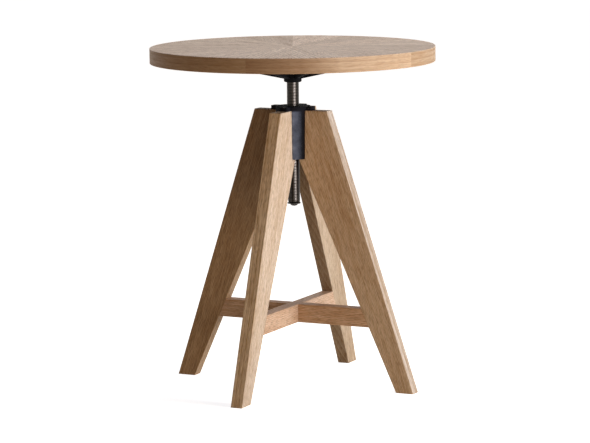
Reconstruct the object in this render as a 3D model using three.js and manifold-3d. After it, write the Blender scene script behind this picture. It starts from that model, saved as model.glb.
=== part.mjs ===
// Round oak side table on four splayed legs. The top turns on a steel lifting screw that runs in a
// cast-iron hub, so the table grows and shrinks by one thread lead for every turn of the top.
// Millimetres, +Z up, origin on the floor under the middle of the table. The front leg points to -Y.

import * as THREE from 'three';
import { mergeVertices } from 'three/addons/utils/BufferGeometryUtils.js';
import Module from 'manifold-3d';

const wasm = await Module();
wasm.setup();

// ---------------------------------------------------------------- driving dimensions
const TABLE_HEIGHT = 720;
const TOP_RADIUS = 300;
const TOP_THICKNESS = 31.5;
const LEAF_THICKNESS = 1; // sunburst leaves above, balancing veneer below
const LIPPING_WIDTH = 8;
const LEAF_COUNT = 16;
const LIPPING_COUNT = 5;
const GLUE_LINE = 0.1; // left between neighbouring leaves and lippings
const TOP_FACETS = 160; // a multiple of both counts, so every joint falls on a facet corner
const LEAF_START = THREE.MathUtils.degToRad(3.375); // azimuths run from -Y towards +X
const LIPPING_START = THREE.MathUtils.degToRad(7.875);

const LEG_THICKNESS = 26.5;
const LEG_TOP = 587;
const LEG_TOP_REACH = 84.75; // outer edge at the leg's top
const FOOT_REACH = 278.75;
const FOOT_WIDTH = 40; // along the radius
const KNEE_REACH = 18; // inner edge just under the hub
const EASING = 1.2; // sanded arrises of the boards

const STRETCHER_BOTTOM = 134.75;
const STRETCHER_DEPTH = 39;
const TENON_THICKNESS = 9;
const TENON_SHOULDER = 5.5; // above and below the tenon
const TENON_LENGTH = 22;

const HUB_BOTTOM = 484.5;
const HUB_RADII = [35.25, 36.5]; // at the bottom and at the legs' top, tapered to leave the mould
const HUB_FLATS = [32, 33.4]; // four seats for the legs' inner edges, with the same taper
const ARM_THICKNESS = 8;
const ARM_REACH = 48.25;
const ARM_WIDTH = 21;
const ARM_CORNER = 4.5;
const ARM_SCREW_REACH = 41;

const SCREW_RADIUS = 12.75;
const SCREW_BOTTOM = 390;
const SCREW_TOP = 679.75;
const RUNNING_GAP = 0.35; // between the screw and the bores round it
const SEAT_GAP = 0.25; // between pieces that rest on each other
const PAST = 20; // how far a cutter runs on outside the piece it cuts

const BOSS_RADIUS = 18.75;
const BOSS_BOTTOM = 645.25;
const BOSS_HEIGHT = 7;
const PLATE_RADIUS = 150;
const PLATE_THICKNESS = 6;
const RIB_COUNT = 8;
const RIB_THICKNESS = 6.5;
const RIB_SLOPE = 0.2225;
const PLATE_SCREW_REACH = 125;

const TOP_UNDERSIDE = TABLE_HEIGHT - TOP_THICKNESS;
const CORE_BOTTOM = TOP_UNDERSIDE + LEAF_THICKNESS;
const CORE_TOP = TABLE_HEIGHT - LEAF_THICKNESS;
const CORE_RADIUS = TOP_RADIUS - LIPPING_WIDTH;
const HUB_TOP = LEG_TOP + ARM_THICKNESS;
const LEDGE = HUB_BOTTOM - SEAT_GAP;
const QUARTERS = ['right', 'back', 'left', 'front'];

// ---------------------------------------------------------------- solids
function solidOf(geometry) {
  const bare = geometry.clone();
  bare.deleteAttribute('normal');
  bare.deleteAttribute('uv');
  const merged = mergeVertices(bare, 1e-4);
  const corners = merged.index.array;
  const kept = [];
  for (let i = 0; i < corners.length; i += 3) {
    const [a, b, c] = corners.slice(i, i + 3);
    if (a !== b && b !== c && c !== a) kept.push(a, b, c); // a lathe's poles leave empty triangles
  }
  const vertProperties = new Float32Array(merged.attributes.position.array);
  const triVerts = new Uint32Array(kept);
  return new wasm.Manifold(new wasm.Mesh({ numProp: 3, vertProperties, triVerts }));
}

function geometryOf(solid) {
  const { vertProperties, triVerts } = solid.getMesh();
  const geometry = new THREE.BufferGeometry();
  geometry.setAttribute('position', new THREE.BufferAttribute(vertProperties, 3));
  geometry.setIndex(new THREE.BufferAttribute(triVerts, 1));
  geometry.computeVertexNormals();
  return geometry;
}

// A board sawn to an outline in the X-Z plane, with its thickness centred on that plane.
function board(outline, thickness, easing = 0) {
  const shape = new THREE.Shape(outline.map(([x, z]) => new THREE.Vector2(x, z)));
  const geometry = new THREE.ExtrudeGeometry(shape, {
    depth: thickness - 2 * easing,
    bevelEnabled: easing > 0,
    bevelThickness: easing,
    bevelSize: easing,
    bevelOffset: -easing,
    bevelSegments: 2,
  });
  geometry.translate(0, 0, easing - thickness / 2);
  return geometry.rotateX(Math.PI / 2);
}

// A slab with a plan outline, standing from one height to another.
function slab(shape, bottom, top, easing = 0) {
  const geometry = new THREE.ExtrudeGeometry(shape, {
    depth: top - bottom - 2 * easing,
    curveSegments: 6,
    bevelEnabled: easing > 0,
    bevelThickness: easing,
    bevelSize: easing,
    bevelOffset: -easing,
    bevelSegments: 2,
  });
  return geometry.translate(0, 0, bottom + easing);
}

// A shape turned about Z from a [radius, height] profile that runs anticlockwise.
function turned(profile, facets, start = 0) {
  const points = profile.map(([radius, height]) => new THREE.Vector2(radius, height));
  return new THREE.LatheGeometry(points, facets, start).rotateX(Math.PI / 2);
}

function planPoint(radius, azimuth) {
  return new THREE.Vector2(radius * Math.sin(azimuth), -radius * Math.cos(azimuth));
}

// A slice of pie for cutting one leaf or lipping out of a whole disc or ring.
function slice(from, to, bottom, top) {
  const middle = (from + to) / 2;
  const apex = planPoint(GLUE_LINE / 2 / Math.sin((to - from) / 2), middle);
  const far = 1.5 * TOP_RADIUS;
  const rim = [from, middle, to].map((azimuth) => planPoint(far, azimuth).add(apex));
  return solidOf(slab(new THREE.Shape([apex, ...rim]), bottom - 1, top + 1));
}

function hexagon(acrossFlats) {
  const corner = acrossFlats / Math.sqrt(3);
  const sides = Array.from({ length: 6 }, (_, i) => planPoint(corner, (i * Math.PI) / 3));
  return new THREE.Shape(sides);
}

// ---------------------------------------------------------------- materials
const finish = (color, roughness, metalness) =>
  new THREE.MeshStandardMaterial({ color, roughness, metalness });
const oak = finish('#c49b72', 0.55, 0);
const oakLeaf = finish('#b9a38f', 0.5, 0);
const oakLipping = finish('#b98a63', 0.5, 0);
const fibreboard = finish('#9c7b58', 0.8, 0);
const castIron = finish('#33343a', 0.55, 0.6);
const blackIron = finish('#19191b', 0.6, 0.5);
const screwSteel = finish('#6f6860', 0.35, 0.9);
const fixingSteel = finish('#3b3a3a', 0.4, 0.8);

const table = new THREE.Group();

function place(name, geometry, material, turn = 0) {
  const mesh = new THREE.Mesh(geometry, material);
  mesh.name = name;
  mesh.rotation.z = turn;
  table.add(mesh);
}

// ---------------------------------------------------------------- legs
// The inner edge of a leg leans in from the foot to the knee under the hub.
const innerReach = (height) =>
  FOOT_REACH - FOOT_WIDTH + ((KNEE_REACH - FOOT_REACH + FOOT_WIDTH) * height) / LEDGE;

// A band that follows the leg's inner edge, from one offset across the edge to another.
function edgeBand(bottom, top, from, to, thickness) {
  const outline = [
    [innerReach(bottom) + from, bottom],
    [innerReach(bottom) + to, bottom],
    [innerReach(top) + to, top],
    [innerReach(top) + from, top],
  ];
  return solidOf(board(outline, thickness));
}

const PILOT_DEPTH = 40;
const PILOT_RADIUS = 2.3;
const tenonBottom = STRETCHER_BOTTOM + TENON_SHOULDER;
const tenonTop = STRETCHER_BOTTOM + STRETCHER_DEPTH - TENON_SHOULDER;

function screwHole(reach, bottom, top, radius) {
  const bore = turned([[0, bottom], [radius, bottom], [radius, top], [0, top]], 12);
  return solidOf(bore.translate(reach, 0, 0));
}

// A tapered oak board: rebated at the top for the hub, mortised for the stretcher.
function leg() {
  const [seatBottom, seatTop] = HUB_FLATS.map((flat) => flat + SEAT_GAP);
  const outline = [
    [innerReach(0), 0],
    [FOOT_REACH, 0],
    [LEG_TOP_REACH, LEG_TOP],
    [seatTop, LEG_TOP],
    [seatBottom, LEDGE],
    [KNEE_REACH, LEDGE],
  ];
  const mortise = edgeBand(
    tenonBottom - SEAT_GAP,
    tenonTop + SEAT_GAP,
    -PAST,
    TENON_LENGTH + 1,
    TENON_THICKNESS + 2 * SEAT_GAP,
  );
  const pilot = screwHole(ARM_SCREW_REACH, LEG_TOP - PILOT_DEPTH, LEG_TOP + 1, PILOT_RADIUS);
  const blank = solidOf(board(outline, LEG_THICKNESS, EASING));
  return geometryOf(blank.subtract(mortise).subtract(pilot));
}

const legGeometry = leg();
QUARTERS.forEach((side, i) => place(`leg_${side}`, legGeometry, oak, (i * Math.PI) / 2));

// ---------------------------------------------------------------- stretchers
// Two boards halved over each other, each with a tenon at both ends.
function stretcher(notchBottom, notchTop) {
  const half = LEG_THICKNESS / 2;
  const section = new THREE.Shape();
  const low = STRETCHER_BOTTOM;
  const high = STRETCHER_BOTTOM + STRETCHER_DEPTH;
  const corners = [
    [-half + EASING, low], [half - EASING, low], [half, low + EASING], [half, high - EASING],
    [half - EASING, high], [-half + EASING, high], [-half, high - EASING], [-half, low + EASING],
  ];
  section.setFromPoints(corners.map(([x, z]) => new THREE.Vector2(x, z)));
  const length = 2 * FOOT_REACH;
  const stock = new THREE.ExtrudeGeometry(section, { depth: length, bevelEnabled: false });
  stock.translate(0, 0, -length / 2);
  stock.rotateX(Math.PI / 2).rotateZ(Math.PI / 2);
  const lowReach = innerReach(low - 1) - SEAT_GAP;
  const highReach = innerReach(high + 1) - SEAT_GAP;
  const shoulders = board(
    [[-lowReach, low - 1], [lowReach, low - 1], [highReach, high + 1], [-highReach, high + 1]],
    LEG_THICKNESS + 2,
  );
  const across = LEG_THICKNESS + 2 * SEAT_GAP;
  const notch = new THREE.BoxGeometry(across, across, notchTop - notchBottom);
  notch.translate(0, 0, (notchBottom + notchTop) / 2);
  let body = solidOf(stock).intersect(solidOf(shoulders)).subtract(solidOf(notch));
  for (const end of [0, Math.PI]) {
    const tenon = geometryOf(edgeBand(tenonBottom, tenonTop, -PAST, TENON_LENGTH, TENON_THICKNESS));
    body = body.add(solidOf(tenon.rotateZ(end)));
  }
  return geometryOf(body);
}

const halving = STRETCHER_BOTTOM + STRETCHER_DEPTH / 2;
place('stretcher_left_right', stretcher(halving - SEAT_GAP, TABLE_HEIGHT), oak);
place('stretcher_front_back', stretcher(0, halving), oak, Math.PI / 2);

// ---------------------------------------------------------------- hub
// One iron casting: a bored column with four flats, and a four-armed flange on the legs' ends.
function armPlan() {
  const root = SCREW_RADIUS + 2; // inside the column's wall
  const half = ARM_WIDTH / 2;
  const bend = ARM_REACH - ARM_CORNER;
  const plan = new THREE.Shape();
  plan.moveTo(root, -half);
  plan.lineTo(bend, -half);
  plan.absarc(bend, -half + ARM_CORNER, ARM_CORNER, -Math.PI / 2, 0);
  plan.absarc(bend, half - ARM_CORNER, ARM_CORNER, 0, Math.PI / 2);
  plan.lineTo(root, half);
  return plan;
}

function countersink(reach, face, direction, headRadius, holeRadius) {
  const depth = headRadius - holeRadius;
  const profile = [
    [0, -PAST],
    [holeRadius, -PAST],
    [holeRadius, -depth],
    [headRadius, 0],
    [headRadius, 1],
    [0, 1],
  ];
  const cutter = turned(profile, 16);
  if (direction < 0) cutter.rotateX(Math.PI);
  return solidOf(cutter.translate(reach, 0, face));
}

function hub() {
  const chamfer = 1.5;
  const bore = SCREW_RADIUS + RUNNING_GAP;
  const [footRadius, radius] = HUB_RADII;
  const [footFlat, flat] = HUB_FLATS;
  const column = turned(
    [
      [bore + chamfer, HUB_BOTTOM],
      [footRadius - chamfer, HUB_BOTTOM],
      [footRadius, HUB_BOTTOM + chamfer],
      [radius, LEG_TOP],
      [radius, HUB_TOP - chamfer],
      [radius - chamfer, HUB_TOP],
      [bore + chamfer, HUB_TOP],
      [bore, HUB_TOP - chamfer],
      [bore, HUB_BOTTOM + chamfer],
      [bore + chamfer, HUB_BOTTOM],
    ],
    64,
  );
  const shaving = board(
    [
      [footFlat, HUB_BOTTOM],
      [footFlat, HUB_BOTTOM - 1],
      [radius + PAST, HUB_BOTTOM - 1],
      [radius + PAST, LEG_TOP],
      [flat, LEG_TOP],
    ],
    2 * radius,
  );
  const arm = slab(armPlan(), LEG_TOP, HUB_TOP, 0.9);
  const sink = geometryOf(countersink(ARM_SCREW_REACH, HUB_TOP, 1, 4.75, 2.5));
  let body = solidOf(column);
  QUARTERS.forEach((_, i) => {
    const turn = (i * Math.PI) / 2;
    body = body.subtract(solidOf(shaving.clone().rotateZ(turn)));
    body = body.add(solidOf(arm.clone().rotateZ(turn)));
    body = body.subtract(solidOf(sink.clone().rotateZ(turn)));
  });
  return geometryOf(body);
}

place('screw_hub', hub(), castIron);

// ---------------------------------------------------------------- wood screws
// A countersunk screw, head at the origin and point down, with a cross recess.
function woodScrew(headRadius, shankRadius, length) {
  const cone = headRadius - shankRadius;
  const edge = 0.4;
  const body = turned(
    [
      [0, -length],
      [shankRadius, -length + 2 * shankRadius],
      [shankRadius, -cone - edge],
      [headRadius, -edge],
      [headRadius, 0],
      [0, 0],
    ],
    12,
  );
  const recess = new THREE.BoxGeometry(headRadius, 0.22 * headRadius, 0.75 * headRadius);
  const crossed = recess.clone().rotateZ(Math.PI / 2);
  return geometryOf(solidOf(body).subtract(solidOf(recess)).subtract(solidOf(crossed)));
}

const sunk = 0.25; // heads sit this far under the face
const armScrew = woodScrew(4, 2, 38);
QUARTERS.forEach((side, i) => {
  const screw = armScrew.clone().translate(ARM_SCREW_REACH, 0, HUB_TOP - sunk);
  place(`arm_screw_${side}`, screw, fixingSteel, (i * Math.PI) / 2);
});

// ---------------------------------------------------------------- lifting screw and its stop
const BOLT_RADIUS = 4;
const BOLT_LENGTH = 28;

// A plain bar with chamfered ends, drilled from below for the stop bolt.
function liftScrew() {
  const chamfer = 1.5;
  const tapped = BOLT_RADIUS + 0.4;
  return turned(
    [
      [0, SCREW_BOTTOM + BOLT_LENGTH + 4],
      [tapped, SCREW_BOTTOM + BOLT_LENGTH + 2],
      [tapped, SCREW_BOTTOM],
      [SCREW_RADIUS - chamfer, SCREW_BOTTOM],
      [SCREW_RADIUS, SCREW_BOTTOM + chamfer],
      [SCREW_RADIUS, SCREW_TOP - chamfer],
      [SCREW_RADIUS - chamfer, SCREW_TOP],
      [0, SCREW_TOP],
    ],
    48,
  );
}

const WASHER_TOP = SCREW_BOTTOM - SEAT_GAP;
const WASHER_BOTTOM = WASHER_TOP - 2.5;

function stopWasher() {
  const outer = SCREW_RADIUS + 1.25;
  const inner = BOLT_RADIUS + 0.75;
  const round = 0.5;
  return turned(
    [
      [inner, WASHER_BOTTOM],
      [outer - round, WASHER_BOTTOM],
      [outer, WASHER_BOTTOM + round],
      [outer, WASHER_TOP - round],
      [outer - round, WASHER_TOP],
      [inner, WASHER_TOP],
      [inner, WASHER_BOTTOM],
    ],
    36,
  );
}

// A button-head bolt, put in from below, that keeps the washer on the screw's foot.
function stopBolt() {
  const seat = WASHER_BOTTOM - SEAT_GAP;
  const headRadius = 8;
  const headDepth = 5;
  const dome = Array.from({ length: 6 }, (_, i) => {
    const angle = (i * Math.PI) / 10;
    return [headRadius * Math.sin(angle), seat - 1 - (headDepth - 1) * Math.cos(angle)];
  });
  const end = WASHER_TOP + BOLT_LENGTH;
  const shank = [[BOLT_RADIUS, seat], [BOLT_RADIUS, end - 2], [0, end]];
  const profile = [...dome, [headRadius, seat], ...shank];
  const socket = slab(hexagon(5), seat - headDepth - 1, seat - headDepth + 3);
  return geometryOf(solidOf(turned(profile, 24)).subtract(solidOf(socket)));
}

place('lift_screw', liftScrew(), screwSteel);
place('stop_washer', stopWasher(), fixingSteel);
place('stop_bolt', stopBolt(), fixingSteel);

// ---------------------------------------------------------------- casting under the top
// A round iron plate with a boss for the screw, stiffened by ribs that fall away to the rim.
const GRUB_HEIGHT = BOSS_BOTTOM + 5;
const GRUB_RADIUS = 3;

function rib() {
  const start = SCREW_RADIUS + 3;
  const end = PLATE_RADIUS - 4;
  const inside = TOP_UNDERSIDE - PLATE_THICKNESS / 2;
  const underside = (reach) => BOSS_BOTTOM + BOSS_HEIGHT + RIB_SLOPE * (reach - BOSS_RADIUS);
  return board(
    [[start, underside(start)], [end, underside(end)], [end + 2, inside], [start, inside]],
    RIB_THICKNESS,
    0.9,
  );
}

function topCasting() {
  const facets = 80;
  const bore = SCREW_RADIUS + RUNNING_GAP;
  const boreEnd = SCREW_TOP + 0.5;
  const face = TOP_UNDERSIDE - PLATE_THICKNESS;
  const seat = TOP_UNDERSIDE - SEAT_GAP;
  const chamfer = 2.5;
  const rim = 1.5;
  const shoulder = BOSS_BOTTOM + BOSS_HEIGHT;
  const sweep = [[3, shoulder + 3], [5, face - 8], [7.5, face - 2.5], [13, face]];
  const plate = turned(
    [
      [0, boreEnd],
      [bore, boreEnd],
      [bore, BOSS_BOTTOM],
      [BOSS_RADIUS - chamfer, BOSS_BOTTOM],
      [BOSS_RADIUS, BOSS_BOTTOM + chamfer],
      [BOSS_RADIUS, shoulder],
      ...sweep.map(([out, height]) => [BOSS_RADIUS + out, height]),
      [PLATE_RADIUS - rim, face],
      [PLATE_RADIUS, face + rim],
      [PLATE_RADIUS, seat],
      [0, seat],
    ],
    facets,
  );
  const ribBoard = rib();
  const sink = geometryOf(countersink(PLATE_SCREW_REACH, face, -1, 5.25, 2.75));
  let body = solidOf(plate);
  for (let i = 0; i < RIB_COUNT; i += 1) {
    const turn = (i * 2 * Math.PI) / RIB_COUNT;
    const between = turn + Math.PI / RIB_COUNT;
    body = body.add(solidOf(ribBoard.clone().rotateZ(turn)));
    body = body.subtract(solidOf(sink.clone().rotateZ(between)));
  }
  const low = BOSS_BOTTOM - 1;
  const throat = turned([[0, low], [bore, low], [bore, boreEnd], [0, boreEnd]], facets);
  const tapped = GRUB_RADIUS + SEAT_GAP;
  const far = BOSS_RADIUS + PAST;
  const grubHole = turned([[0, 0], [tapped, 0], [tapped, far], [0, far]], 16);
  grubHole.rotateX(-Math.PI / 2).translate(0, 0, GRUB_HEIGHT);
  return geometryOf(body.subtract(solidOf(throat)).subtract(solidOf(grubHole)));
}

// The grub screw pinches the lifting screw in the boss, so that screw and top turn together.
function grubScrew() {
  const inner = SCREW_RADIUS + SEAT_GAP;
  const outer = BOSS_RADIUS - 0.5;
  const point = [[0, inner], [GRUB_RADIUS - 1, inner], [GRUB_RADIUS, inner + 1]];
  const body = turned([...point, [GRUB_RADIUS, outer], [0, outer]], 16);
  const socket = slab(hexagon(3), outer - 2, outer + 1);
  const screw = geometryOf(solidOf(body).subtract(solidOf(socket)));
  return screw.rotateX(-Math.PI / 2).translate(0, 0, GRUB_HEIGHT);
}

place('top_casting', topCasting(), blackIron);
place('grub_screw', grubScrew(), fixingSteel);

const plateScrewLength = 26;
const plateScrewHead = TOP_UNDERSIDE - PLATE_THICKNESS + sunk;
const plateScrew = woodScrew(4.5, 2.2, plateScrewLength).rotateX(Math.PI);
plateScrew.translate(PLATE_SCREW_REACH, 0, plateScrewHead);
const pilotEnd = plateScrewHead + plateScrewLength + 1;
const plateScrewPilot = geometryOf(screwHole(PLATE_SCREW_REACH, TOP_UNDERSIDE - 1, pilotEnd, 2.5));
const plateScrewPilots = [];
for (let i = 0; i < RIB_COUNT; i += 1) {
  const turn = ((i + 0.5) * 2 * Math.PI) / RIB_COUNT;
  place(`plate_screw_${i + 1}`, plateScrew, fixingSteel, turn);
  plateScrewPilots.push(solidOf(plateScrewPilot.clone().rotateZ(turn)));
}

// ---------------------------------------------------------------- table top
function drilled(disc) {
  return plateScrewPilots.reduce((body, pilot) => body.subtract(pilot), solidOf(disc));
}

function disc(radius, bottom, top) {
  return turned(
    [[0, bottom], [radius, bottom], [radius, top], [0, top]],
    TOP_FACETS,
    LIPPING_START,
  );
}

const core = geometryOf(drilled(disc(CORE_RADIUS, CORE_BOTTOM, CORE_TOP)));
const balancing = geometryOf(drilled(disc(CORE_RADIUS, TOP_UNDERSIDE, CORE_BOTTOM)));
place('core_board', core, fibreboard);
place('underside_veneer', balancing, oakLeaf);

// Solid oak lipping round the core, in equal lengths butted end to end.
const lippingRing = solidOf(turned(
  [
    [CORE_RADIUS, TOP_UNDERSIDE],
    [TOP_RADIUS - EASING, TOP_UNDERSIDE],
    [TOP_RADIUS, TOP_UNDERSIDE + EASING],
    [TOP_RADIUS, CORE_TOP],
    [CORE_RADIUS, CORE_TOP],
    [CORE_RADIUS, TOP_UNDERSIDE],
  ],
  TOP_FACETS,
  LIPPING_START,
));
for (let i = 0; i < LIPPING_COUNT; i += 1) {
  const step = (2 * Math.PI) / LIPPING_COUNT;
  const from = LIPPING_START + i * step;
  const length = lippingRing.intersect(slice(from, from + step, TOP_UNDERSIDE, CORE_TOP));
  place(`edge_lipping_${i + 1}`, geometryOf(length), oakLipping);
}

// Wedge-shaped veneer leaves whose grain runs out from the middle, over core and lipping.
const leafArris = 0.6;
const leafDisc = solidOf(turned(
  [
    [0, CORE_TOP],
    [TOP_RADIUS, CORE_TOP],
    [TOP_RADIUS, TABLE_HEIGHT - leafArris],
    [TOP_RADIUS - leafArris, TABLE_HEIGHT],
    [0, TABLE_HEIGHT],
  ],
  TOP_FACETS,
  LIPPING_START,
));
for (let i = 0; i < LEAF_COUNT; i += 1) {
  const step = (2 * Math.PI) / LEAF_COUNT;
  const from = LEAF_START + i * step;
  const leaf = leafDisc.intersect(slice(from, from + step, CORE_TOP, TABLE_HEIGHT));
  place(`veneer_leaf_${String(i + 1).padStart(2, '0')}`, geometryOf(leaf), oakLeaf);
}

export default table;
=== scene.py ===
# Round oak side table. Four splayed legs stand round a cast-iron hub, and the sunburst-veneered
# top rises and falls as it turns on a steel lifting screw. Metres, in the frame of the CAD model.
import math
import bpy
from mathutils import Matrix, Vector


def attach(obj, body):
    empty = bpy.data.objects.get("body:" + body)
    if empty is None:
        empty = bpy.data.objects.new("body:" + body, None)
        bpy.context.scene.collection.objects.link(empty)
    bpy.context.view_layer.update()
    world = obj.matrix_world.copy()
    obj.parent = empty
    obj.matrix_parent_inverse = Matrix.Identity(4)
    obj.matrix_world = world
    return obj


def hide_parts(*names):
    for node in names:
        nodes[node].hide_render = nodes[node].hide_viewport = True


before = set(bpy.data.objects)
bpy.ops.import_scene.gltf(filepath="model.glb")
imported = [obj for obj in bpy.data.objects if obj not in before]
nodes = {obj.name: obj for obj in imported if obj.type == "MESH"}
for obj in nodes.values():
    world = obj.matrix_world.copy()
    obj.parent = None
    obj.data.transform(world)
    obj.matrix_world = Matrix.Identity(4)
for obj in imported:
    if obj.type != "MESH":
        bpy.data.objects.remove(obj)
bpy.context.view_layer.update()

# ---- Oak legs
# Four tapered boards of solid oak, planed, sanded and finished with a matt oil. The grain runs up
# each board along its outer edge. A rebate at the top clasps the hub, a mortise holds a stretcher.
MM = 0.001
QUARTER = math.pi / 2
SIDES = ["right", "back", "left", "front"]
LEG_LEAN = math.radians(18.5)
RING_GAP, RING_STRETCH = 3.2 * MM, 20
OAK_PORE = "#6E4E31"
# The pale and the brown wood of each board, since the four come from different planks. The left
# board's darker tones are also painted shade, and the front board's paler ones painted light.
BOARD_TONES = {
    "right": ("#D9BF9E", "#AB865E"), "back": ("#CFB797", "#A0805A"),
    "left": ("#C8A880", "#967148"), "front": ("#E3CDB0", "#B08F69"),
}
# What red, green and blue are multiplied by on each board's outer and inner edge: painted light
# and painted shade, which make each edge as light or as dark as the light falling on it.
EDGE_LIGHT_AND_SHADE = {
    "right": ((0.9, 0.98, 1.12), (0.9, 0.9, 0.9)), "back": ((1.1, 1.1, 1.1), (0.7, 0.68, 0.68)),
    "left": ((1.1, 1.1, 1.1), (1, 1, 1)), "front": ((1.28, 1.32, 1.28), (0.9, 0.9, 0.9)),
}
# Painted shade on the left leg, darker towards its top: how far along the board it begins and is
# full, in metres, and its three gains.
LEG_PAINTED_SHADE = {"left": (0.23, 0.38, (0.73, 0.74, 0.78))}


def linear(code):
    """An sRGB hex colour as the linear colour that a node takes."""
    channels = [int(code[i:i + 2], 16) / 255 for i in (1, 3, 5)]
    return [c / 12.92 if c < 0.04045 else ((c + 0.055) / 1.055) ** 2.4 for c in channels] + [1]


def add(tree, kind, inputs=None, stops=None, **settings):
    """Adds one node. An input is a value, or the output of another node, which is linked."""
    made = tree.nodes.new("ShaderNode" + kind)
    for key, value in settings.items():
        setattr(made, key, value)
    for key, value in (inputs or {}).items():
        if isinstance(value, bpy.types.NodeSocket):
            tree.links.new(value, made.inputs[key])
        else:
            made.inputs[key].default_value = value
    if stops:
        ramp = made.color_ramp.elements
        while len(ramp) < len(stops):
            ramp.new(1)
        for element, (place, code) in zip(ramp, stops):
            element.position, element.color = place, linear(code)
    return made


def blank(name):
    """An empty material, and its node tree."""
    material = bpy.data.materials.new(name)
    material.use_nodes = True
    material.node_tree.nodes.clear()
    return material, material.node_tree


def coat(piece, material):
    """Covers a piece, or a CAD node, with one material."""
    piece.data.materials.clear()
    piece.data.materials.append(material)


def mixed(tree, share, colour, other, how="MIX"):
    """One colour with that share of another laid over it, or multiplied into it."""
    inputs = {0: share, 6: colour, 7: other}
    return add(tree, "Mix", inputs, data_type="RGBA", blend_type=how).outputs[2]


def eased(tree, value, low, high, start=0, end=1):
    """A value between two limits, brought to between two others and held there."""
    return add(tree, "MapRange", {
        "Value": value, "From Min": low, "From Max": high, "To Min": start, "To Max": end,
    }).outputs["Result"]


def oak(name, pale, brown, upright, pith, bent=0, figure=1, gloss=0.18, edges=(), painted_shade=None):
    """Oiled oak: growth rings and long streaks from pale to brown, dark pores and a low sheen.
    The board is turned upright, with its grain along Z, and the tree's pith is then that many mm
    off its middle. A bent board's grain follows a circle of that radius in metres. Figure is how
    strongly the grain shows. The last two arguments paint light and shade into the colour: the
    first on the board's outer and inner edges, the second darker along a stretch of the board."""
    material, tree = blank(name)
    coords = add(tree, "TexCoord").outputs["Object"]
    board = add(tree, "Mapping", {"Vector": coords, "Rotation": upright.to_euler()}).outputs[0]
    if bent:
        x, y, z = add(tree, "SeparateXYZ", {"Vector": board}).outputs
        angle = add(tree, "Math", {0: y, 1: x}, operation="ARCTAN2").outputs[0]
        along = add(tree, "Math", {0: angle, 1: bent}, operation="MULTIPLY").outputs[0]
        flat = add(tree, "CombineXYZ", {"X": x, "Y": y}).outputs[0]
        reach = add(tree, "VectorMath", {0: flat}, operation="LENGTH").outputs["Value"]
        board = add(tree, "CombineXYZ", {"X": reach, "Y": z, "Z": along}).outputs[0]
    length = add(tree, "SeparateXYZ", {"Vector": board}).outputs["Z"]
    board = add(tree, "Mapping", {"Vector": board, "Location": Vector(pith) * MM}).outputs[0]

    # The rings wander a little along the board. A wave of scale 1 would repeat every pi / 10.
    drawn = add(tree, "Mapping", {"Vector": board, "Scale": (1, 1, 1 / RING_STRETCH)}).outputs[0]
    rings = add(tree, "TexWave", {
        "Vector": drawn, "Scale": math.pi / 10 / RING_GAP, "Distortion": 5, "Detail": 2,
        "Detail Scale": 0.22, "Detail Roughness": 0.45,
    }, wave_type="RINGS", rings_direction="Z", wave_profile="SAW").outputs["Fac"]

    def fibres(across, along, detail):
        """Noise drawn out along the grain, as wide and as long as that many mm."""
        scale = (1 / across / MM, 1 / across / MM, 1 / along / MM)
        drawn = add(tree, "Mapping", {"Vector": board, "Scale": scale}).outputs[0]
        return add(tree, "TexNoise", {"Vector": drawn, "Scale": 1, "Detail": detail}).outputs["Fac"]

    # Pores are 0.3 mm wide on real oak, and are drawn 1.6 mm wide so that they show.
    pores = eased(tree, fibres(1.6, 12, 1), 0.5, 0.66)
    tone = add(tree, "Math", {0: rings, 1: 0.2}, operation="MULTIPLY").outputs[0]
    for across, along, share in ((6, 150, 0.25), (1.7, 26, 0.6), (30, 420, 0.35)):
        tone = add(tree, "Math", {
            0: fibres(across, along, 3), 1: share, 2: tone,
        }, operation="MULTIPLY_ADD").outputs[0]
    wood = add(tree, "ValToRGB", {"Fac": tone}, stops=[
        (0.7 - 0.18 / figure, brown), (0.7 + 0.18 / figure, pale),
    ]).outputs["Color"]
    shade = add(tree, "Math", {0: pores, 1: 0.4 * figure}, operation="MULTIPLY").outputs[0]
    colour = mixed(tree, shade, wood, linear(OAK_PORE))
    # Painted light and painted shade on the board's outer and inner edges.
    for way, gain in zip((1, -1), edges):
        outward = upright.inverted() @ Vector((way, 0, 0))
        normal = add(tree, "NewGeometry").outputs["Normal"]
        facing = add(tree, "VectorMath", {0: normal, 1: outward}, operation="DOT_PRODUCT")
        painted_edge_light = eased(tree, facing.outputs["Value"], 0.5, 0.8)
        colour = mixed(tree, painted_edge_light, colour, (*gain, 1), "MULTIPLY")
    # Painted shade: darker along one stretch of the board.
    if painted_shade:
        begins, full, gain = painted_shade
        colour = mixed(tree, eased(tree, length, begins, full), colour, (*gain, 1), "MULTIPLY")
    sheen = eased(tree, tone, 0.5, 0.95, 0.56, 0.44)
    height = add(tree, "Math", {0: tone, 1: pores}, operation="SUBTRACT").outputs[0]
    bump = add(tree, "Bump", {"Height": height, "Strength": 0.3, "Distance": 0.2 * MM}).outputs[0]
    shader = add(tree, "BsdfPrincipled", {
        "Base Color": colour, "Roughness": sheen, "Specular IOR Level": gloss, "Normal": bump,
    }).outputs[0]
    add(tree, "OutputMaterial", {"Surface": shader})
    return material


for i, side in enumerate(SIDES):
    upright = Matrix.Rotation(LEG_LEAN, 3, "Y") @ Matrix.Rotation(-i * QUARTER, 3, "Z")
    coat(nodes["leg_" + side], oak(
        f"Oiled oak of the {side} leg", *BOARD_TONES[side], upright,
        (90 + 23 * i, 60 + 31 * i, 700 * i), edges=EDGE_LIGHT_AND_SHADE[side], painted_shade=LEG_PAINTED_SHADE.get(side),
    ))

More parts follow.
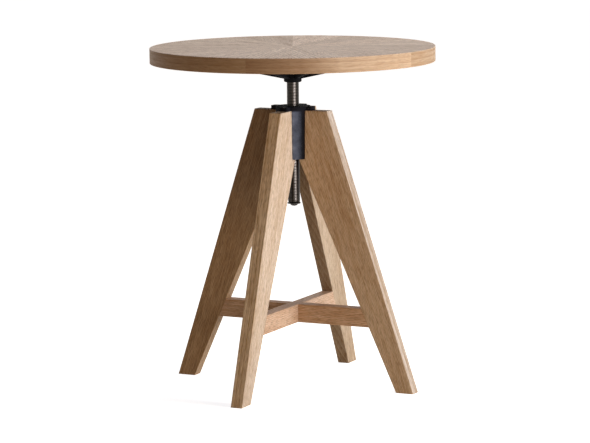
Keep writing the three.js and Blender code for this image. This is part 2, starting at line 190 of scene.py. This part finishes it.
# ---- Stretchers
# Two oak boards of the legs' stock, halved over each other and tenoned into the legs. The one from
# front to back lies on top at the crossing. Their grain runs from end to end.
STRETCHER_TONES = "#E3C2A0", "#B48860"
lengthwise = Matrix.Rotation(-QUARTER, 3, "Y")
crosswise = lengthwise @ Matrix.Rotation(-QUARTER, 3, "Z")
coat(nodes["stretcher_left_right"], oak(
    "Oiled oak of the cross stretcher", *STRETCHER_TONES, lengthwise, (260, 60, 100),
))
coat(nodes["stretcher_front_back"], oak(
    "Oiled oak of the long stretcher", *STRETCHER_TONES, crosswise, (300, -70, 900),
))

# ---- Screw hub
# One sand casting of grey iron, painted: a bored column with a flat for each leg, and a flange
# whose four arms lie on the legs' ends. Column and flats taper downwards, as they left the mould.
HUB_BOTTOM, LEG_TOP, HUB_TOP = 484.5 * MM, 587 * MM, 595 * MM
HUB_RADIUS, HUB_FOOT_RADIUS = 36.5 * MM, 35.25 * MM
HUB_FLAT, HUB_TAPER = 33.4 * MM, math.atan(1.4 / 102.5)
BORE = 13.1 * MM
ARM_REACH, ARM_HALF, ARM_CORNER = 48.25 * MM, 10.5 * MM, 4.5 * MM
ARM_SCREW_REACH, ARM_HOLE, ARM_SINK, SINK_DEPTH = 41 * MM, 2.5 * MM, 5.75 * MM, 2.25 * MM
CAST_EDGE = 0.9 * MM
SMOOTH = math.radians(35)


def turn(angle):
    """A turn about the table's axis."""
    return Matrix.Rotation(angle, 4, "Z")


def hold(piece):
    """Makes a piece the only one that is selected, and the active one."""
    bpy.ops.object.select_all(action="DESELECT")
    piece.select_set(True)
    bpy.context.view_layer.objects.active = piece


def draw(name, corners, edges=(), faces=()):
    """A piece begun from its corners and the edges or faces between them."""
    mesh = bpy.data.meshes.new(name)
    mesh.from_pydata(corners, edges, faces)
    piece = bpy.data.objects.new(name, mesh)
    bpy.context.scene.collection.objects.link(piece)
    hold(piece)
    return piece


def each(operator, **settings):
    """Runs an operator of edit mode on all that the active piece has."""
    bpy.ops.mesh.select_all(action="SELECT")
    operator(**settings)


def combine(piece, tool, operation):
    """Cuts one solid by another, or joins them, and takes the tool away."""
    step = piece.modifiers.new(operation, "BOOLEAN")
    step.operation, step.object, step.solver = operation, tool, "EXACT"
    bpy.context.view_layer.objects.active = piece
    bpy.ops.object.modifier_apply(modifier=step.name)
    bpy.data.objects.remove(tool)


def rod(radius, bottom, top, x=0, sides=128, tip=None):
    """An upright round bar, or a cone with its own radius at the tip, placed in its mesh."""
    bpy.ops.object.select_all(action="DESELECT")
    bpy.ops.mesh.primitive_cone_add(
        vertices=sides, radius1=radius, radius2=radius if tip is None else tip,
        depth=top - bottom, location=(x, 0, (bottom + top) / 2),
    )
    bpy.ops.object.transform_apply()
    return bpy.context.object


def block(low, high):
    """A box between two corners, placed in its mesh."""
    low, high = Vector(low), Vector(high)
    bpy.ops.object.select_all(action="DESELECT")
    bpy.ops.mesh.primitive_cube_add(size=1, location=(low + high) / 2, scale=high - low)
    bpy.ops.object.transform_apply()
    return bpy.context.object


def drill(piece, angle, *sizes, **shape):
    """Cuts a rod of those sizes out of a piece, at that angle round the table's axis."""
    tool = rod(*sizes, **shape)
    tool.data.transform(turn(angle))
    combine(piece, tool, "DIFFERENCE")


def ease(piece, width):
    """Rounds the edges of a piece that are sharper than 40 degrees, and shades it smooth."""
    edges = piece.modifiers.new("eased edges", "BEVEL")
    edges.width, edges.segments, edges.angle_limit = width, 3, math.radians(40)
    edges.use_clamp_overlap, edges.miter_outer = True, "MITER_ARC"
    hold(piece)
    bpy.ops.object.modifier_apply(modifier=edges.name)
    bpy.ops.object.shade_smooth_by_angle(angle=SMOOTH)


def settle(piece, name, material, body, replaced):
    """Names a finished piece, coats it and puts it on its body in place of its CAD node."""
    piece.name = piece.data.name = name
    coat(piece, material)
    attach(piece, body)
    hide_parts(replaced)


def cast_iron(name, face, hollow, rough, shaded_above=None):
    """Painted sand-cast iron: a fine pebbled skin 1.4 mm across, over slow swells of the mould.
    Above the height given last, the paint is made nearly black as painted shade, and below it each
    quarter round the column is made darker towards one side as painted shade."""
    material, tree = blank(name)
    coords = add(tree, "TexCoord").outputs["Object"]
    sand = add(tree, "TexNoise", {
        "Vector": coords, "Scale": 1 / (1.4 * MM), "Detail": 3,
    }).outputs[0]
    swell = add(tree, "TexNoise", {
        "Vector": coords, "Scale": 1 / (14 * MM), "Detail": 2,
    }).outputs[0]
    pits = add(tree, "TexVoronoi", {"Vector": coords, "Scale": 1 / (3.5 * MM)}).outputs["Distance"]
    height = add(tree, "Math", {0: swell, 1: 3.0, 2: sand}, operation="MULTIPLY_ADD").outputs[0]
    mottle = add(tree, "Math", {0: sand, 1: 0.4, 2: swell}, operation="MULTIPLY_ADD").outputs[0]
    colour = add(tree, "ValToRGB", {"Fac": mottle}, stops=[(0.35, hollow), (1.0, face)]).outputs[0]
    if shaded_above:
        # Painted shade: each quarter round the column darkens towards the leg that follows it.
        x, y, level = add(tree, "SeparateXYZ", {"Vector": coords}).outputs
        angle = add(tree, "Math", {0: y, 1: x}, operation="ARCTAN2").outputs[0]
        quarters = add(tree, "Math", {0: angle, 1: 1 / QUARTER}, operation="MULTIPLY").outputs[0]
        corner = add(tree, "Math", {0: quarters}, operation="FRACT").outputs[0]
        painted_corner_shade = add(tree, "Math", {0: sand, 1: 0.3, 2: corner}, operation="MULTIPLY_ADD").outputs[0]
        colour = mixed(tree, eased(tree, painted_corner_shade, 0.42, 0.79), colour, linear("#151416"))
        # Painted shade: above the given height the paint is made nearly black, with a ragged edge.
        ragged = add(tree, "Math", {
            0: swell, 1: 4 * MM, 2: level,
        }, operation="MULTIPLY_ADD").outputs[0]
        painted_flange_shade = eased(tree, ragged, shaded_above - MM, shaded_above + 3 * MM)
        colour = mixed(tree, painted_flange_shade, colour, linear("#19181B"))
    dull = eased(tree, pits, 0, 0.6, rough + 0.12, rough - 0.04)
    bump = add(tree, "Bump", {"Height": height, "Strength": 0.35, "Distance": 0.3 * MM}).outputs[0]
    shader = add(tree, "BsdfPrincipled", {
        "Base Color": colour, "Roughness": dull, "Specular IOR Level": 0.05, "Normal": bump,
    }).outputs[0]
    add(tree, "OutputMaterial", {"Surface": shader})
    return material


# The flange's plan, arm by arm: a rounded end, two straight sides and the round between two arms.
plan = []
for quarter in range(4):
    for side in (-1, 1):
        for i in range(7):
            sweep = (i - 6 if side < 0 else i) * QUARTER / 6
            x = ARM_REACH - ARM_CORNER + ARM_CORNER * math.cos(sweep)
            y = side * (ARM_HALF - ARM_CORNER) + ARM_CORNER * math.sin(sweep)
            plan.append(turn(quarter * QUARTER) @ Vector((x, y, LEG_TOP)))
    neck = math.asin(ARM_HALF / HUB_RADIUS)
    for i in range(25):
        sweep = quarter * QUARTER + neck + (QUARTER - 2 * neck) * i / 24
        plan.append(Vector((HUB_RADIUS * math.cos(sweep), HUB_RADIUS * math.sin(sweep), LEG_TOP)))
hub = draw("hub", plan, faces=[range(len(plan))])
bpy.ops.object.mode_set(mode="EDIT")
each(bpy.ops.mesh.extrude_region_move, TRANSFORM_OT_translate={"value": (0, 0, HUB_TOP - LEG_TOP)})
each(bpy.ops.mesh.normals_make_consistent, inside=False)
bpy.ops.object.mode_set(mode="OBJECT")

# The column reaches up into the flange, and each shaving off it leaves one leaning flat.
column = rod(HUB_FOOT_RADIUS, HUB_BOTTOM, LEG_TOP + 2 * MM, tip=HUB_RADIUS - 0.05 * MM)
lean = Matrix.Translation((HUB_FLAT, 0, LEG_TOP)) @ Matrix.Rotation(HUB_TAPER, 4, "Y")
for quarter in range(4):
    shaving = block(
        (0, -2 * HUB_RADIUS, HUB_BOTTOM - LEG_TOP - MM), (HUB_RADIUS, 2 * HUB_RADIUS, 8 * MM),
    )
    shaving.data.transform(turn(quarter * QUARTER) @ lean)
    combine(column, shaving, "DIFFERENCE")
combine(hub, column, "UNION")
combine(hub, rod(BORE, HUB_BOTTOM - MM, HUB_TOP + MM), "DIFFERENCE")
place = {"x": ARM_SCREW_REACH, "sides": 32}
for quarter in range(4):
    angle = quarter * QUARTER
    drill(hub, angle, ARM_HOLE, LEG_TOP - MM, HUB_TOP + MM, **place)
    drill(hub, angle, ARM_HOLE, HUB_TOP - SINK_DEPTH, HUB_TOP + MM, **place, tip=ARM_SINK)
ease(hub, CAST_EDGE)
# Painted shade: the flange is made near black, and each quarter of the column darker next to a leg.
blue_iron = cast_iron("Blue-grey painted cast iron", "#767D8B", "#414651", 0.7, shaded_above=LEG_TOP)
settle(hub, "cast_screw_hub", blue_iron, "base", "screw_hub")

# ---- Arm screws
# Four countersunk wood screws of blackened steel that hold the hub's arms down on the legs. Each
# is turned from wire, with a rolled thread below and a cross recess pressed into its head.
WIRE_PITCH, WIRE_ROOT = 1.8, 0.78
RECESS_LONG, RECESS_WIDE = 0.55, 0.11
HEAD_SUNK = 0.25 * MM


def spun(name, profile, steps=64):
    """A solid turned about the table's axis from a closed outline of (radius, height) in mm."""
    corners = [(radius * MM, 0, height * MM) for radius, height in profile]
    piece = draw(name, corners, edges=[(i, (i + 1) % len(corners)) for i in range(len(corners))])
    bpy.ops.object.mode_set(mode="EDIT")
    each(bpy.ops.mesh.spin, steps=steps, angle=4 * QUARTER, center=(0, 0, 0), axis=(0, 0, 1))
    each(bpy.ops.mesh.remove_doubles, threshold=0.005 * MM)
    each(bpy.ops.mesh.normals_make_consistent, inside=False)
    bpy.ops.object.mode_set(mode="OBJECT")
    bpy.ops.object.shade_smooth_by_angle(angle=SMOOTH)
    return piece


def wood_screw(head, shank, length):
    """A countersunk screw on the table's axis, head up with its face at height 0, in mm."""
    cone = head - shank
    outline = [(0, 0), (0, -length), (shank * 0.3, 1 - length), (shank, 5 - length)]
    crest, root = 6 - length, shank * WIRE_ROOT
    while crest < -cone - 0.35 * length:
        outline += [(shank, crest), (root, crest + 0.45), (root, crest + 1)]
        crest += WIRE_PITCH
    outline += [(shank, -cone - 0.4), (head, -0.4), (head, 0)]
    screw = spun("wood screw", outline, 32)
    half_long, half_wide = RECESS_LONG * head * MM, RECESS_WIDE * head * MM
    for angle in (0, QUARTER):
        slot = block((-half_long, -half_wide, -1.5 * MM), (half_long, half_wide, MM))
        slot.data.transform(turn(angle))
        combine(screw, slot, "DIFFERENCE")
    return screw


def copied(piece, placing):
    """A copy with its own mesh, moved there in its mesh."""
    twin = bpy.data.objects.new(piece.name, piece.data.copy())
    twin.data.transform(placing)
    bpy.context.scene.collection.objects.link(twin)
    return twin


# Blackened steel: an even oxide, rubbed paler and smoother in patches 2 mm across.
fixing_steel, tree = blank("Blackened steel fixings")
coords = add(tree, "TexCoord").outputs["Object"]
rub = add(tree, "TexNoise", {"Vector": coords, "Scale": 1 / (2 * MM), "Detail": 4}).outputs[0]
colour = add(tree, "ValToRGB", {"Fac": rub}, stops=[(0.4, "#353434"), (0.7, "#57534F")]).outputs[0]
dull = eased(tree, rub, 0.3, 0.7, 0.5, 0.34)
bump = add(tree, "Bump", {"Height": rub, "Strength": 0.15, "Distance": 0.1 * MM}).outputs[0]
shader = add(tree, "BsdfPrincipled", {
    "Base Color": colour, "Metallic": 1, "Roughness": dull, "Normal": bump,
}).outputs[0]
add(tree, "OutputMaterial", {"Surface": shader})

pattern = wood_screw(4, 2, 38)
for i, side in enumerate(SIDES):
    placing = Matrix.Translation((ARM_SCREW_REACH, 0, HUB_TOP - HEAD_SUNK))
    twin = copied(pattern, turn(i * QUARTER) @ placing)
    settle(twin, "countersunk_arm_screw_" + side, fixing_steel, "base",
           "arm_screw_" + side)
bpy.data.objects.remove(pattern)

# ---- Lifting screw
# A 25.5 mm steel bar, threaded over its whole length by rolling: broad crests and narrow, shallow
# rounded grooves of 6 mm lead. Oil darkens it brown in the grooves, and the hub rubs the crests
# paler and smoother.
LEAD = 6 * MM
SCREW_RADIUS, THREAD_DEPTH, SCREW_CHAMFER = 12.75 * MM, 0.3 * MM, 1.5 * MM
SCREW_BOTTOM, SCREW_TOP = 390 * MM, 679.75 * MM
# From the middle of one groove to the next: the share of the lead, and of the depth.
groove = [(0, 1), (0.025, 0.85), (0.05, 0.5), (0.075, 0.15), (0.1, 0.02), (0.12, 0), (0.14, 0)]
groove += [(0.5, 0)] + [(1 - place, depth) for place, depth in reversed(groove)]
start = SCREW_BOTTOM - LEAD
flank = [(SCREW_RADIUS - depth * THREAD_DEPTH, 0, start + LEAD * place) for place, depth in groove]
thread = draw("thread", flank, edges=[(i, i + 1) for i in range(len(flank) - 1)])
winding = thread.modifiers.new("winding", "SCREW")
winding.axis, winding.angle, winding.screw_offset = "Z", 4 * QUARTER, LEAD
winding.iterations = math.ceil((SCREW_TOP - SCREW_BOTTOM) / LEAD) + 2
winding.steps = winding.render_steps = 48
bpy.ops.object.modifier_apply(modifier=winding.name)
bpy.ops.object.mode_set(mode="EDIT")
each(bpy.ops.mesh.remove_doubles, threshold=0.01 * MM)
across = {"plane_no": (0, 0, 1), "use_fill": True}
each(bpy.ops.mesh.bisect, plane_co=(0, 0, SCREW_BOTTOM), clear_inner=True, **across)
each(bpy.ops.mesh.bisect, plane_co=(0, 0, SCREW_TOP), clear_outer=True, **across)
each(bpy.ops.mesh.normals_make_consistent, inside=False)
bpy.ops.object.mode_set(mode="OBJECT")
for vertex in thread.data.vertices:
    margin = min(vertex.co.z - SCREW_BOTTOM, SCREW_TOP - vertex.co.z)
    limit = SCREW_RADIUS - max(0, SCREW_CHAMFER - margin)
    reach = vertex.co.xy.length
    if reach > limit:
        vertex.co.xy *= limit / reach
bpy.ops.object.shade_smooth_by_angle(angle=math.radians(40))

# Steel under old oil: nearly black in the grooves, a little paler and smoother on the crests, with
# soft smears 5 mm across.
screw_steel, tree = blank("Oiled screw steel, bright on the crests")
coords = add(tree, "TexCoord").outputs["Object"]
x, y, z = add(tree, "SeparateXYZ", {"Vector": coords}).outputs
flat = add(tree, "CombineXYZ", {"X": x, "Y": y}).outputs[0]
reach = add(tree, "VectorMath", {0: flat}, operation="LENGTH").outputs["Value"]
smear = add(tree, "TexNoise", {"Vector": coords, "Scale": 1 / (5 * MM), "Detail": 4}).outputs[0]
blur = eased(tree, smear, 0.3, 0.7, -0.08 * MM, 0.08 * MM)
worn = add(tree, "Math", {0: reach, 1: blur}).outputs[0]
crest = eased(tree, worn, SCREW_RADIUS - THREAD_DEPTH, SCREW_RADIUS)
colour = add(tree, "ValToRGB", {"Fac": crest}, stops=[
    (0.0, "#1B1815"), (0.45, "#26221E"), (1.0, "#37332F"),
]).outputs["Color"]
dull = eased(tree, crest, 0, 1, 0.4, 0.3)
scuff = add(tree, "Bump", {"Height": smear, "Strength": 0.03, "Distance": 0.1 * MM}).outputs[0]
shader = add(tree, "BsdfPrincipled", {
    "Base Color": colour, "Metallic": 1, "Roughness": dull, "Normal": scuff,
}).outputs[0]
add(tree, "OutputMaterial", {"Surface": shader})
settle(thread, "threaded_lift_screw", screw_steel, "top", "lift_screw")

# ---- Stop washer and bolt
# A thick turned washer, held to the screw's foot by a button-head bolt, keeps the top from being
# wound out of the hub. Both are blackened steel.
washer = spun("round_stop_washer", [
    (4.75, 387.25), (13.4, 387.25), (13.7, 387.33), (13.92, 387.55), (14, 387.85),
    (14, 389.15), (13.92, 389.45), (13.7, 389.67), (13.4, 389.75), (4.75, 389.75),
])
settle(washer, "round_stop_washer", fixing_steel, "lift", "stop_washer")
dome = [(8 * math.sin(i * QUARTER / 10), 386 - 4 * math.cos(i * QUARTER / 10)) for i in range(11)]
bolt = spun("button_stop_bolt", dome + [(8, 387), (4, 387), (4, 415.75), (0, 417.75)])
socket = rod(5 / math.sqrt(3) * MM, 381 * MM, 385 * MM, sides=6)
combine(bolt, socket, "DIFFERENCE")
settle(bolt, "button_stop_bolt", fixing_steel, "top", "stop_bolt")

# ---- Casting under the top
# A round sand-cast iron plate with a boss for the screw and eight ribs that thin towards the rim.
# It is painted matt black, and screwed to the top between the ribs. Its colour is darker than the
# hub's as painted shade, for the shade under the top.
PLATE_FACE, GRUB_HEIGHT = 682.5 * MM, 650.25 * MM
BOSS_RADIUS, BOSS_SHOULDER = 18.75, 652.25
PLATE_SCREW_REACH, PLATE_HOLE, PLATE_SINK = 125 * MM, 2.75 * MM, 6.25 * MM
RIB_HALF, RIB_EDGE, RIB_SLOPE = 3.25 * MM, 1.4 * MM, 0.2225
casting = spun("ribbed_top_casting", [
    (0, 680.25), (13.1, 680.25), (13.1, 645.25), (16.25, 645.25), (17.4, 645.6), (18.4, 646.6),
    (BOSS_RADIUS, 647.75), (BOSS_RADIUS, BOSS_SHOULDER), (19.6, 654.3), (21.75, 655.25),
    (22.4, 662), (23.75, 674.5), (25, 678.5), (27.5, 681.4), (31.75, 682.5), (148.5, 682.5),
    (149.6, 682.95), (150, 684), (150, 688.25), (0, 688.25),
], steps=144)
place = {"x": PLATE_SCREW_REACH, "sides": 24}
for i in range(8):
    rib = block((16 * MM, -RIB_HALF, 640 * MM), (148 * MM, RIB_HALF, 685.5 * MM))
    shoulder = (BOSS_RADIUS * MM, 0, BOSS_SHOULDER * MM)
    bpy.ops.object.mode_set(mode="EDIT")
    each(bpy.ops.mesh.bisect, plane_co=shoulder, plane_no=(-RIB_SLOPE, 0, 1), clear_inner=True,
         use_fill=True)
    bpy.ops.object.mode_set(mode="OBJECT")
    ease(rib, RIB_EDGE)
    rib.data.transform(turn(i * QUARTER / 2))
    combine(casting, rib, "UNION")
    between = (i + 0.5) * QUARTER / 2
    drill(casting, between, PLATE_HOLE, 680 * MM, 690 * MM, **place)
    drill(casting, between, PLATE_SINK, 681.5 * MM, 685 * MM, **place, tip=PLATE_HOLE)
grub_place = Matrix.Translation((0, 0, GRUB_HEIGHT)) @ Matrix.Rotation(-QUARTER, 4, "X")
grub_hole = rod(3.25 * MM, 0, 30 * MM, sides=32)
grub_hole.data.transform(grub_place)
combine(casting, grub_hole, "DIFFERENCE")
hold(casting)
bpy.ops.object.shade_smooth_by_angle(angle=SMOOTH)
# Painted shade: a darker copy of the hub's painted iron, for the casting's place under the top.
black_iron = cast_iron("Black painted cast iron", "#171618", "#0D0C0E", 0.65)
settle(casting, "ribbed_top_casting", black_iron, "top", "top_casting")

# The grub screw in the boss pinches the lifting screw, so that the two turn together.
grub = spun("grub screw", [(0, 13), (2, 13), (3, 14), (3, 18.25), (0, 18.25)], 32)
combine(grub, rod(1.73 * MM, 16.25 * MM, 19 * MM, sides=6), "DIFFERENCE")
grub.data.transform(grub_place)
settle(grub, "socket_grub_screw", fixing_steel, "top", "grub_screw")

# The plate screws point upwards, into the core board.
pattern = wood_screw(4.5, 2.2, 26)
pattern.data.transform(Matrix.Rotation(2 * QUARTER, 4, "X"))
for i in range(8):
    placing = Matrix.Translation((PLATE_SCREW_REACH, 0, PLATE_FACE + HEAD_SUNK))
    twin = copied(pattern, turn((i + 0.5) * QUARTER / 2) @ placing)
    settle(twin, f"countersunk_plate_screw_{i + 1}", fixing_steel, "top",
           f"plate_screw_{i + 1}")
bpy.data.objects.remove(pattern)

# ---- Core and underside of the top
# A fibreboard disc, veneered below with plain oak so that it stays flat. The core is closed in on
# all sides, and only its brown speckled fibres would show if it were cut.
fibreboard, tree = blank("Raw fibreboard")
coords = add(tree, "TexCoord").outputs["Object"]
fluff = add(tree, "TexNoise", {"Vector": coords, "Scale": 1 / (0.8 * MM), "Detail": 4}).outputs[0]
cloud = add(tree, "TexNoise", {"Vector": coords, "Scale": 1 / (30 * MM), "Detail": 2}).outputs[0]
speckle = add(tree, "Math", {0: fluff, 1: 0.6, 2: cloud}, operation="MULTIPLY_ADD").outputs[0]
colour = add(tree, "ValToRGB", {"Fac": speckle}, stops=[
    (0.6, "#7E6144"), (1.0, "#A88A66"),
]).outputs[0]
fuzz = add(tree, "Bump", {"Height": fluff, "Strength": 0.3, "Distance": 0.2 * MM}).outputs[0]
shader = add(tree, "BsdfPrincipled", {
    "Base Color": colour, "Roughness": 0.85, "Normal": fuzz,
}).outputs[0]
add(tree, "OutputMaterial", {"Surface": shader})
coat(nodes["core_board"], fibreboard)
coat(nodes["underside_veneer"], oak(
    "Oak balancing veneer", "#C8AC8A", "#A5855F", lengthwise, (40, 330, 300),
))

# ---- Edge lippings
# Five lengths of solid oak, steamed to the curve and butted end to end round the core, so that the
# grain runs round the edge. The lower arris is rounded.
TOP_RADIUS, LIPPING_BOTTOM, LIPPING_TOP, LIPPING_INSIDE = 300, 688.5, 719, 292
ARRIS, HALF_JOINT = 1.2, 0.05
LIPPING_START, LIPPING_SWEEP = 7.875, 72
# How many eight-bit steps each length is lighter than the common tone, and a painted shade on the
# first, darker from its middle towards its end at the front.
LIPPING_TONES = [0, -17, -8, 4, -8]
LIPPING_PAINTED_SHADE = {0: (0.005, -0.075, (0.74, 0.67, 0.61))}


def shifted(code, steps):
    """An sRGB hex colour made lighter by that many eight-bit steps."""
    return "#" + "".join(f"{int(code[i:i + 2], 16) + steps:02X}" for i in (1, 3, 5))


# A lipping's section, as (radius, height) in mm, with its rounded lower arris in four facets.
section = [(LIPPING_INSIDE, LIPPING_BOTTOM)]
for i in range(5):
    inward, upward = 1 - math.sin(i * QUARTER / 4), 1 - math.cos(i * QUARTER / 4)
    section.append((TOP_RADIUS - ARRIS * inward, LIPPING_BOTTOM + ARRIS * upward))
section += [(TOP_RADIUS, LIPPING_TOP), (LIPPING_INSIDE, LIPPING_TOP)]
gap = math.degrees(HALF_JOINT / TOP_RADIUS)
for i, tone in enumerate(LIPPING_TONES):
    azimuth = LIPPING_START + LIPPING_SWEEP * i - 90
    first = math.radians(azimuth + gap)
    corners = [(r * math.cos(first) * MM, r * math.sin(first) * MM, z * MM) for r, z in section]
    lipping = draw("lipping", corners, faces=[range(len(section))])
    # A positive angle would spin clockwise, seen from above.
    sweep = -math.radians(LIPPING_SWEEP - 2 * gap)
    bpy.ops.object.mode_set(mode="EDIT")
    each(bpy.ops.mesh.spin, steps=64, angle=sweep, center=(0, 0, 0), axis=(0, 0, 1))
    each(bpy.ops.mesh.normals_make_consistent, inside=False)
    bpy.ops.object.mode_set(mode="OBJECT")
    bpy.ops.object.shade_smooth_by_angle(angle=SMOOTH)
    middle = math.radians(azimuth + LIPPING_SWEEP / 2)
    finish = oak(
        f"Oiled oak of lipping {i + 1}", shifted("#D2B592", tone), shifted("#A27C55", tone),
        Matrix.Rotation(-middle, 3, "Z"), (-150 + 9 * i, -655, 400 * i),
        bent=TOP_RADIUS * MM, figure=0.5, painted_shade=LIPPING_PAINTED_SHADE.get(i),
    )
    settle(lipping, f"bent_edge_lipping_{i + 1}", finish, "top",
           f"edge_lipping_{i + 1}")

# ---- Veneer leaves
# Sixteen wedge-shaped leaves of oak veneer in a sunburst, laid over core and lippings and sanded
# flush. The grain of each runs out from the middle, and each leaf differs a little in tone.
# How many eight-bit steps each leaf is lighter than the common tone.
LEAF_TONES = [4, 2, 4, 0, -5, 7, 17, -8, 19, -14, 0, 0, 0, 0, 8, 6]
LEAF_START, LEAF_SWEEP = 3.375, 22.5
for i, tone in enumerate(LEAF_TONES):
    middle = math.radians(LEAF_START + LEAF_SWEEP * (i + 0.5) - 90)
    outwards = lengthwise @ Matrix.Rotation(-middle, 3, "Z")
    coat(nodes[f"veneer_leaf_{i + 1:02d}"], oak(
        f"Oak veneer of leaf {i + 1}", shifted("#D6BE9F", tone), shifted("#A48767", tone),
        outwards, (60, 240 + 17 * i, 350 * i), figure=1.7, gloss=0.5,
    ))

# ---- Studio
# A plain white floor and an even sky, which look white to the eye and in reflections, and soft
# lamps. The floor keeps a soft shadow, and is clear from beneath.
FLOOR_HEIGHT, AIM_HEIGHT = -0.2 * MM, 0.45


def looked_at(tree):
    """1 for the rays that show a background to the eye, straight, mirrored or through glass."""
    rays = add(tree, "LightPath").outputs
    seen = rays["Is Camera Ray"]
    for kind in ("Is Glossy Ray", "Is Transmission Ray"):
        seen = add(tree, "Math", {0: seen, 1: rays[kind]}, operation="MAXIMUM").outputs[0]
    return seen


bpy.ops.object.select_all(action="DESELECT")
bpy.ops.mesh.primitive_plane_add(size=80, location=(0, 0, FLOOR_HEIGHT))
floor = bpy.context.object
floor.name = "studio_floor"
paper, tree = blank("White studio paper")
seen = looked_at(tree)
# Its glow is a little weaker and bluer near the table, where the lamps light it too.
spot = add(tree, "TexCoord").outputs["Object"]
reach = add(tree, "VectorMath", {0: spot}, operation="LENGTH").outputs["Value"]
pale = eased(tree, reach, 0.4, 2.0, 0.9, 1.0)
matt = add(tree, "BsdfDiffuse", {"Color": linear("#FFF8DC")}).outputs[0]
lift = add(tree, "Math", {0: seen, 1: pale}, operation="MULTIPLY").outputs[0]
tint = add(tree, "ValToRGB", {"Fac": pale}, stops=[(0.9, "#F6FAFF"), (1.0, "#FFFFFF")]).outputs[0]
glow = add(tree, "Emission", {"Color": tint, "Strength": lift}).outputs[0]
lit_paper = add(tree, "AddShader", {0: matt, 1: glow}).outputs[0]
beneath = add(tree, "NewGeometry").outputs["Backfacing"]
clear = add(tree, "BsdfTransparent").outputs[0]
shader = add(tree, "MixShader", {0: beneath, 1: lit_paper, 2: clear}).outputs[0]
add(tree, "OutputMaterial", {"Surface": shader})
coat(floor, paper)

world = bpy.data.worlds.new("Studio")
world.use_nodes = True
tree = world.node_tree
tree.nodes.clear()
lit = add(tree, "Background", {"Color": linear("#FFB070"), "Strength": 0.06}).outputs[0]
white = add(tree, "Background", {"Color": linear("#FFFFFF"), "Strength": 1}).outputs[0]
sky = add(tree, "MixShader", {0: looked_at(tree), 1: lit, 2: white}).outputs[0]
add(tree, "OutputWorld", {"Surface": sky})
bpy.context.scene.world = world


def lamp(name, azimuth, elevation, distance, width, height, power, colour):
    """A soft lamp that faces the table. Azimuth runs from -Y towards +X, in degrees."""
    data = bpy.data.lights.new(name, "AREA")
    data.shape, data.size, data.size_y = "RECTANGLE", width, height
    data.energy, data.color = power, linear(colour)[:3]
    azimuth, elevation = math.radians(azimuth), math.radians(elevation)
    level = math.cos(elevation)
    away = Vector((math.sin(azimuth) * level, -math.cos(azimuth) * level, math.sin(elevation)))
    turned = away.to_track_quat("Z", "Y").to_matrix().to_4x4()
    held = bpy.data.objects.new(name, data)
    aim = Vector((0, 0, AIM_HEIGHT))
    held.matrix_world = Matrix.Translation(aim + away * distance) @ turned
    bpy.context.scene.collection.objects.link(held)
    return held


# The key lamp stands low on the right. It is kept out of reflections, or the matt top would flare.
key = lamp("key lamp", 92, 8, 2.0, 0.9, 0.9, 43, "#DBE6FF")
key.visible_glossy = False
# One lamp high behind lights the top, and two weak ones fill in the front and the near side.
lamp("back lamp", 180, 70, 2.5, 1.2, 1.2, 31, "#EDEFFF")
lamp("front lamp", 25, -2, 1.7, 0.7, 0.7, 1.3, "#FFBE80")
lamp("low side lamp", 68, -2, 1.7, 0.5, 0.5, 5.8, "#FFF2E8")
# The last one lights the lifting screw alone, and draws the bright line down it.
glint = lamp("screw lamp", 57, -2, 1.7, 0.85, 0.5, 38, "#F2F4FF")
glint.light_linking.receiver_collection = bpy.data.collections.new("Lit by the screw lamp")
glint.light_linking.receiver_collection.objects.link(thread)

# A long lens, looking down by 8 degrees from the front and a little to the right.
CAMERA_PLACE = (2.5368, -5.1567, 1.1819)
CAMERA_TURN, CAMERA_DIP, CAMERA_ROLL = math.radians(26.18), math.radians(8.253), math.radians(-0.63)
camera = bpy.data.objects.new("camera", bpy.data.cameras.new("camera"))
camera.data.lens, camera.data.sensor_width = 167.25, 36
camera.data.clip_end = 200
pitch = Matrix.Rotation(QUARTER - CAMERA_DIP, 4, "X")
camera.matrix_world = (
    Matrix.Translation(CAMERA_PLACE) @ turn(CAMERA_TURN) @ pitch @ turn(CAMERA_ROLL)
)
bpy.context.scene.collection.objects.link(camera)
bpy.context.scene.camera = camera
bpy.context.scene.view_settings.view_transform = "Standard"
